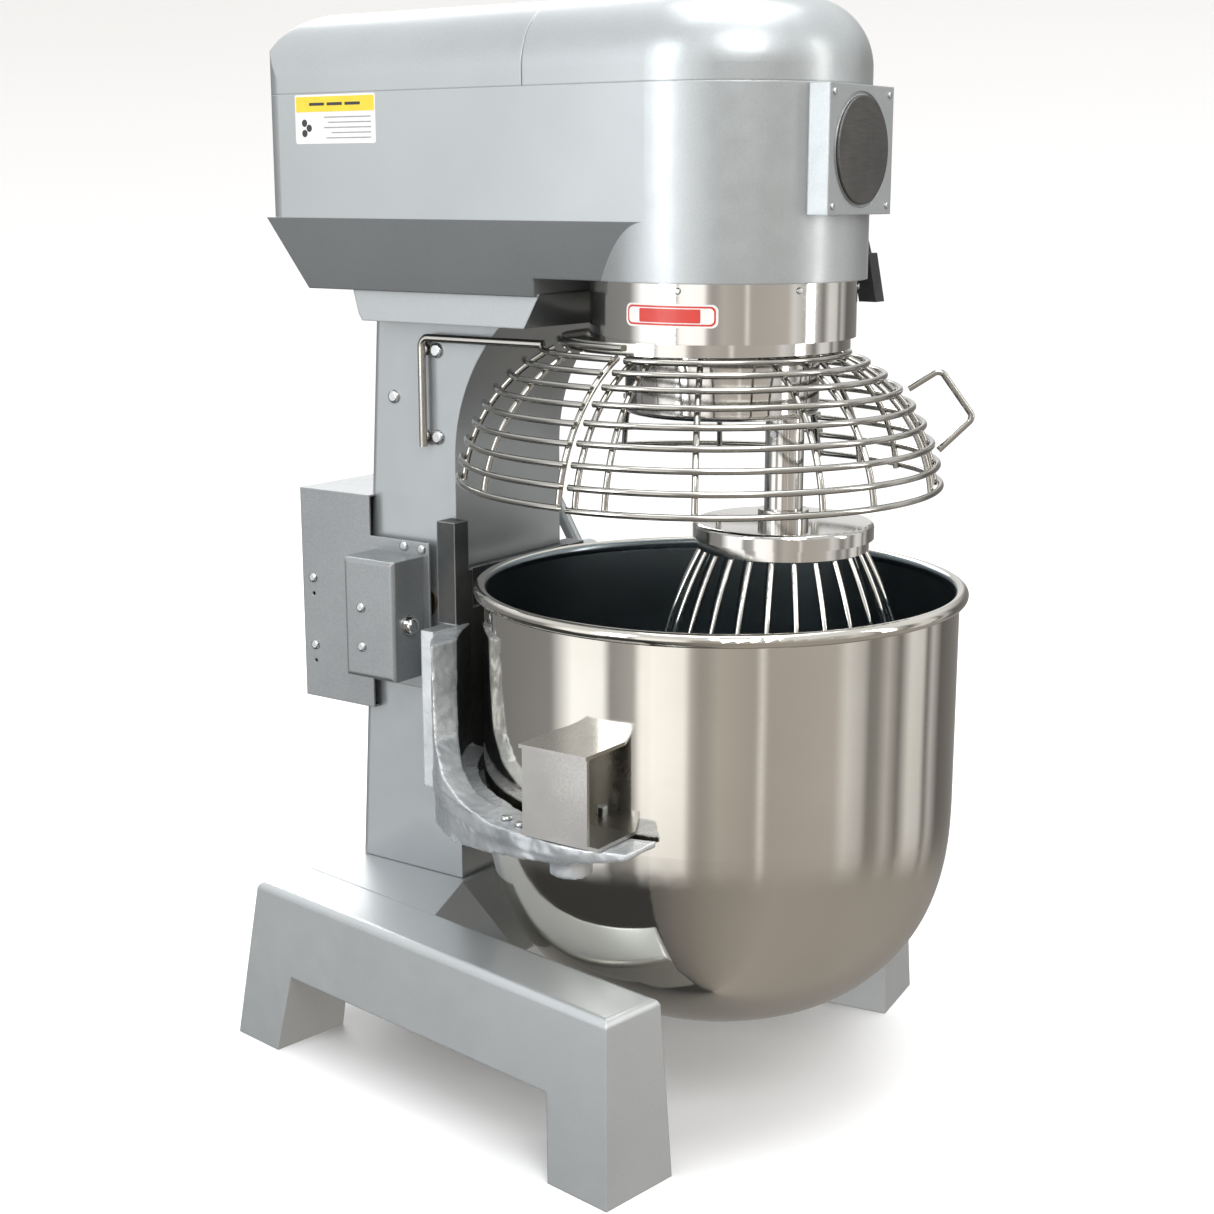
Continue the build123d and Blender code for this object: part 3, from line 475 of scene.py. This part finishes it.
def area_light(name, place, size, power, colour=(1, 1, 1)):
    """A soft light aimed at the middle of the object."""
    data = bpy.data.lights.new(name, "AREA")
    data.shape = "RECTANGLE"
    data.size, data.size_y = size
    data.energy = power
    data.color = colour
    obj = bpy.data.objects.new(name, data)
    obj.location = place
    aim = Vector((0.0, 0.0, 0.5)) - Vector(place)
    obj.rotation_euler = aim.to_track_quat("-Z", "Y").to_euler()
    bpy.context.scene.collection.objects.link(obj)


# Tones round the horizon, for the steel to show: (bearing in degrees, brightness, warmth)
WALLS = [(-180, 1.9, 0.96), (-164, 1.7, 0.95), (-161, 0.80, 0.9), (-157, 0.55, 0.88), (-153, 0.60, 0.88),
         (-148, 0.75, 0.84), (-131, 0.64, 0.84), (-128, 1.2, 0.9), (-125, 0.66, 0.84), (-108, 0.70, 0.84),
         (-92, 0.74, 0.86), (-86, 1.1, 0.94), (-77, 0.80, 0.94), (-73, 0.35, 0.9), (-68, 0.40, 0.9),
         (-62, 0.80, 0.92), (-54, 0.28, 0.9), (-46, 1.15, 0.95), (-36, 1.00, 0.95), (-32, 0.24, 0.9),
         (-27, 0.80, 0.95), (-18, 0.20, 0.9), (15, 0.34, 0.9), (24, 1.10, 0.98), (44, 1.00, 0.98),
         (52, 0.24, 0.95), (126, 0.42, 0.98), (139, 1.9, 1.0), (156, 1.8, 1.0), (160, 0.50, 0.96),
         (172, 0.70, 0.95), (175, 1.8, 0.96)]
GROUND = [(-180, 0.20, 0.90), (-150, 0.44, 0.82), (-120, 0.58, 0.82), (-30, 0.52, 0.84), (30, 0.34, 0.90),
          (85, 0.16, 0.95), (110, 0.07, 0.98), (165, 0.07, 0.98)]


def ring(graph, turn, tones):
    """Tones round the horizon as a colour ramp over turn, which runs from 0 to 1."""
    node = graph.tree.nodes.new("ShaderNodeValToRGB")
    stops = node.color_ramp.elements
    for i, (degrees, value, warmth) in enumerate(tones):
        position = (degrees + 180) / 360
        stop = stops[i] if i < 2 else stops.new(position)
        stop.position = position
        stop.color = (value, value * (0.5 + 0.5 * warmth), value * warmth, 1)
    graph.link(turn, node.inputs["Fac"])
    return node.outputs["Color"]


def studio_world():
    """Soft room light: pale overhead, windows and walls round the horizon, dark below."""
    world = bpy.data.worlds.new("studio")
    world.use_nodes = True
    graph = Graph(world.node_tree)
    direction = graph.coords.outputs["Generated"]
    bearing = graph.math("ARCTAN2", graph.part_of(direction, "Y"), graph.part_of(direction, "X"))
    turn = graph.ramp(bearing, -math.pi, math.pi)
    height = graph.part_of(direction, "Z")
    overhead = graph.ramp(height, 0.14, 0.55, shape="SMOOTHSTEP")
    underfoot = graph.ramp(height, -0.30, -0.46, shape="SMOOTHSTEP")
    room = graph.mix(overhead, ring(graph, turn, WALLS), (1.25, 1.26, 1.26))
    background = world.node_tree.nodes["Background"]
    background.inputs["Strength"].default_value = 0.85
    graph.link(graph.mix(underfoot, room, ring(graph, turn, GROUND)), background.inputs["Color"])
    bpy.context.scene.world = world


FLOOR_R = 4.0
COVE_R = 2.0
turned_sheet("floor", [(0.01, 0.0), (1.0, 0.0), (FLOOR_R, 0.0)])
cove = []
for i in range(13):
    climb = math.radians(7.5 * i)
    cove.append((FLOOR_R + COVE_R * math.sin(climb), COVE_R - COVE_R * math.cos(climb)))
backdrop = turned_sheet("backdrop", cove + [(FLOOR_R + COVE_R, 9.0)])
backdrop.visible_shadow = False     # the room's light comes through it
studio_world()
area_light("key", (-1.9, -2.1, 2.6), (1.6, 1.6), 48)
area_light("left_window", (-2.8, 0.7, 1.3), (0.8, 2.2), 32, (0.96, 0.98, 1.0))
area_light("front_strip", (0.9, -2.6, 1.2), (0.4, 2.2), 16, (1.0, 0.98, 0.95))
area_light("top", (0.1, -0.2, 3.4), (2.4, 2.4), 52)
area_light("back", (1.6, 2.2, 2.2), (1.4, 1.4), 34)

camera_data = bpy.data.cameras.new("camera")
camera_data.sensor_width = 36.0
camera_data.lens = 56.49
camera = bpy.data.objects.new("camera", camera_data)
camera.location = (-1.3250, -0.9087, 0.7569)
DOWN, BEARING = 12.48, -55.0      # degrees
camera.rotation_euler = (math.radians(90 - DOWN), 0.0, math.radians(BEARING))
bpy.context.scene.collection.objects.link(camera)
bpy.context.scene.camera = camera
bpy.context.scene.view_settings.view_transform = "Standard"
